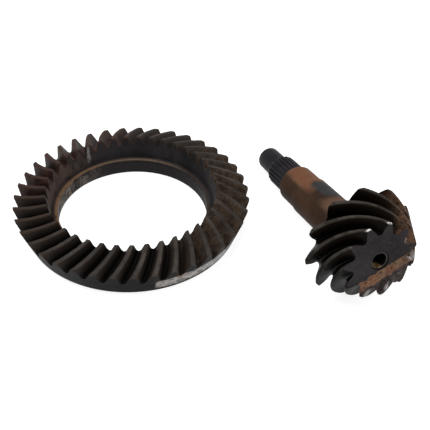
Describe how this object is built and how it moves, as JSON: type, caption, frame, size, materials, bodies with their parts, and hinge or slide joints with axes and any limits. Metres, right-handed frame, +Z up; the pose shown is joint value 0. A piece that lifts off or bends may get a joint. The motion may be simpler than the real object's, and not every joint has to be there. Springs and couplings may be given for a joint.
{
  "type": "bevel gear pair",
  "caption": "Crown wheel with curved bevel teeth and its pinion with a splined shaft, hypoid style, lying side by side; turns a drive through a right angle",
  "frame": {"origin": "on the ring gear's axis, in the plane of its back face, which is also the surface that both gears lie on", "axes": "+Z up along the ring gear's axis, out of its toothed side; +X towards the pinion lying beside it; +Y away from the pinion's nose, roughly along its shaft"},
  "size_m": [0.3414, 0.2524, 0.0968],
  "materials": {
    "bush_bronze": "dull, aged",
    "pinion_steel": "oily dark brown patina, rusty seats",
    "ring_steel": "oily dark brown patina, bright rubbed rim"
  },
  "bodies": {
    "pilot_bush": {"pilot_bush": "bush_bronze"},
    "pinion": {"pinion": "pinion_steel"},
    "ring_gear": {"ring_gear": "ring_steel"}
  },
  "joints": [
    {"name": "pinion_spin", "type": "hinge", "parent": "pilot_bush", "child": "pinion", "pos_m": [0.1849, -0.1013, 0.04777], "axis": [0.2516, -0.9455, 0.2069], "continuous": true},
    {"name": "ring_gear_spin", "type": "hinge", "parent": "pilot_bush", "child": "ring_gear", "pos_m": [0, 0, 0], "axis": [0, 0, 1], "continuous": true}
  ],
  "couplings": [
    {"joint": "pinion_spin", "follows": "ring_gear_spin", "ratio": -3.5455}
  ]
}
